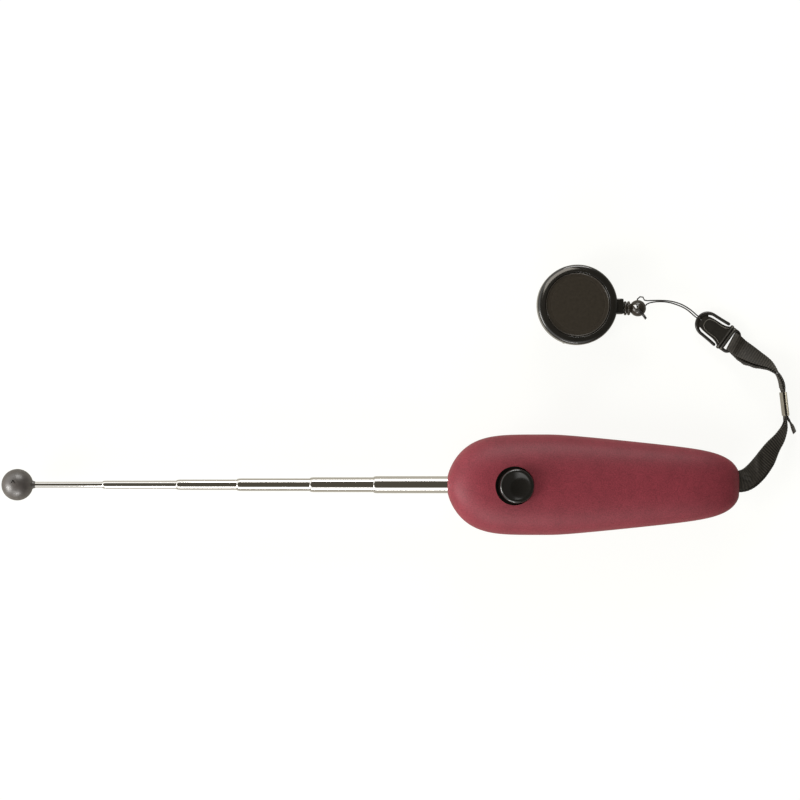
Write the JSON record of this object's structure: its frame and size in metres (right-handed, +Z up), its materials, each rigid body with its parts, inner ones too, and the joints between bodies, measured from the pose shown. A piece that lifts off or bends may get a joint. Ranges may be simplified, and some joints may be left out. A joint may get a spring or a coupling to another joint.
{
  "type": "target stick",
  "caption": "Telescopic dog-training target stick: pebble handle with clicker button, steel sections, ball tip, wrist strap, snap hook and round retractable reel.",
  "frame": {"origin": "middle of the flat on the handle's underside, where it rests on the table", "axes": "+X along the handle from the stick's ball towards the wrist strap, +Y to the side where the reel lies, +Z up through the button"},
  "size_m": [0.3211, 0.1081, 0.0311],
  "materials": {
    "handle_plastic": "soft-touch coating, fine matt grain",
    "gloss_black_plastic": "moulded, high gloss",
    "matt_black_plastic": "moulded, satin",
    "chromed_steel": "drawn and chromed",
    "zinc_steel": "zinc plated",
    "bush_brass": "rolled strip",
    "ball_rubber": "satin",
    "webbing_fabric": "ribbed woven tape",
    "cord_fibre": "braided cord"
  },
  "bodies": {
    "handle": {"handle_top_shell": "handle_plastic", "handle_bottom_shell": "handle_plastic", "handle_screw_1": "zinc_steel", "handle_screw_2": "zinc_steel", "handle_screw_3": "zinc_steel", "handle_screw_4": "zinc_steel", "strap_pin": "zinc_steel", "guide_tube": "zinc_steel", "guide_tube_plug": "matt_black_plastic", "clicker_base": "matt_black_plastic", "clicker_leaf": "chromed_steel", "leaf_rivet_1": "bush_brass", "leaf_rivet_2": "bush_brass", "strap_webbing": "webbing_fabric", "strap_ferrule": "zinc_steel", "hook_clip": "matt_black_plastic", "loop_cord": "cord_fibre", "cord_end_ball": "gloss_black_plastic"},
    "section_6": {"stick_section_6": "chromed_steel", "friction_bush_6": "bush_brass"},
    "section_5": {"stick_section_5": "chromed_steel", "friction_bush_5": "bush_brass"},
    "section_4": {"stick_section_4": "chromed_steel", "friction_bush_4": "bush_brass"},
    "section_3": {"stick_section_3": "chromed_steel", "friction_bush_3": "bush_brass"},
    "section_2": {"stick_section_2": "chromed_steel", "friction_bush_2": "bush_brass"},
    "tip": {"stick_section_1": "chromed_steel", "friction_bush_1": "bush_brass", "target_ball": "ball_rubber"},
    "button": {"clicker_button": "gloss_black_plastic"},
    "reel": {"reel_front_shell": "gloss_black_plastic", "reel_back_shell": "gloss_black_plastic", "reel_face_disc": "gloss_black_plastic", "reel_spring": "zinc_steel", "reel_cord": "cord_fibre", "belt_clip": "chromed_steel", "clip_rivet": "zinc_steel"},
    "spool": {"reel_spool": "matt_black_plastic", "reel_cord_winding": "cord_fibre"}
  },
  "joints": [
    {"name": "section_6_slide", "type": "slide", "parent": "handle", "child": "section_6", "axis": [-1, 0, 0], "range_m": [-0.028, 0.061]},
    {"name": "section_5_slide", "type": "slide", "parent": "section_6", "child": "section_5", "axis": [-1, 0, 0], "range_m": [-0.0239, 0.0666]},
    {"name": "section_4_slide", "type": "slide", "parent": "section_5", "child": "section_4", "axis": [-1, 0, 0], "range_m": [-0.0277, 0.0628]},
    {"name": "section_3_slide", "type": "slide", "parent": "section_4", "child": "section_3", "axis": [-1, 0, 0], "range_m": [-0.0227, 0.0678]},
    {"name": "section_2_slide", "type": "slide", "parent": "section_3", "child": "section_2", "axis": [-1, 0, 0], "range_m": [-0.0281, 0.0624]},
    {"name": "tip_slide", "type": "slide", "parent": "section_2", "child": "tip", "axis": [-1, 0, 0], "range_m": [-0.0262, 0.0643]},
    {"name": "button_press", "type": "slide", "parent": "handle", "child": "button", "axis": [-0.1219, 0, -0.9925], "range_m": [0, 0.0015], "stiffness_N_per_m": 1800, "springref_m": -0.0006, "deforming": ["clicker_leaf"]},
    {"name": "reel_pull", "type": "slide", "parent": "handle", "child": "reel", "axis": [-1, 0, 0], "range_m": [0, 0.6], "stiffness_N_per_m": 0.8, "springref_m": -0.75, "deforming": ["reel_cord"]},
    {"name": "spool_spin", "type": "hinge", "parent": "reel", "child": "spool", "pos_m": [0.0021, 0.072, 0.0094], "axis": [0, 0, 1], "range_deg": [-3740, 0]}
  ],
  "couplings": [
    {"joint": "spool_spin", "follows": "reel_pull", "rad_per_m": -108.7}
  ]
}
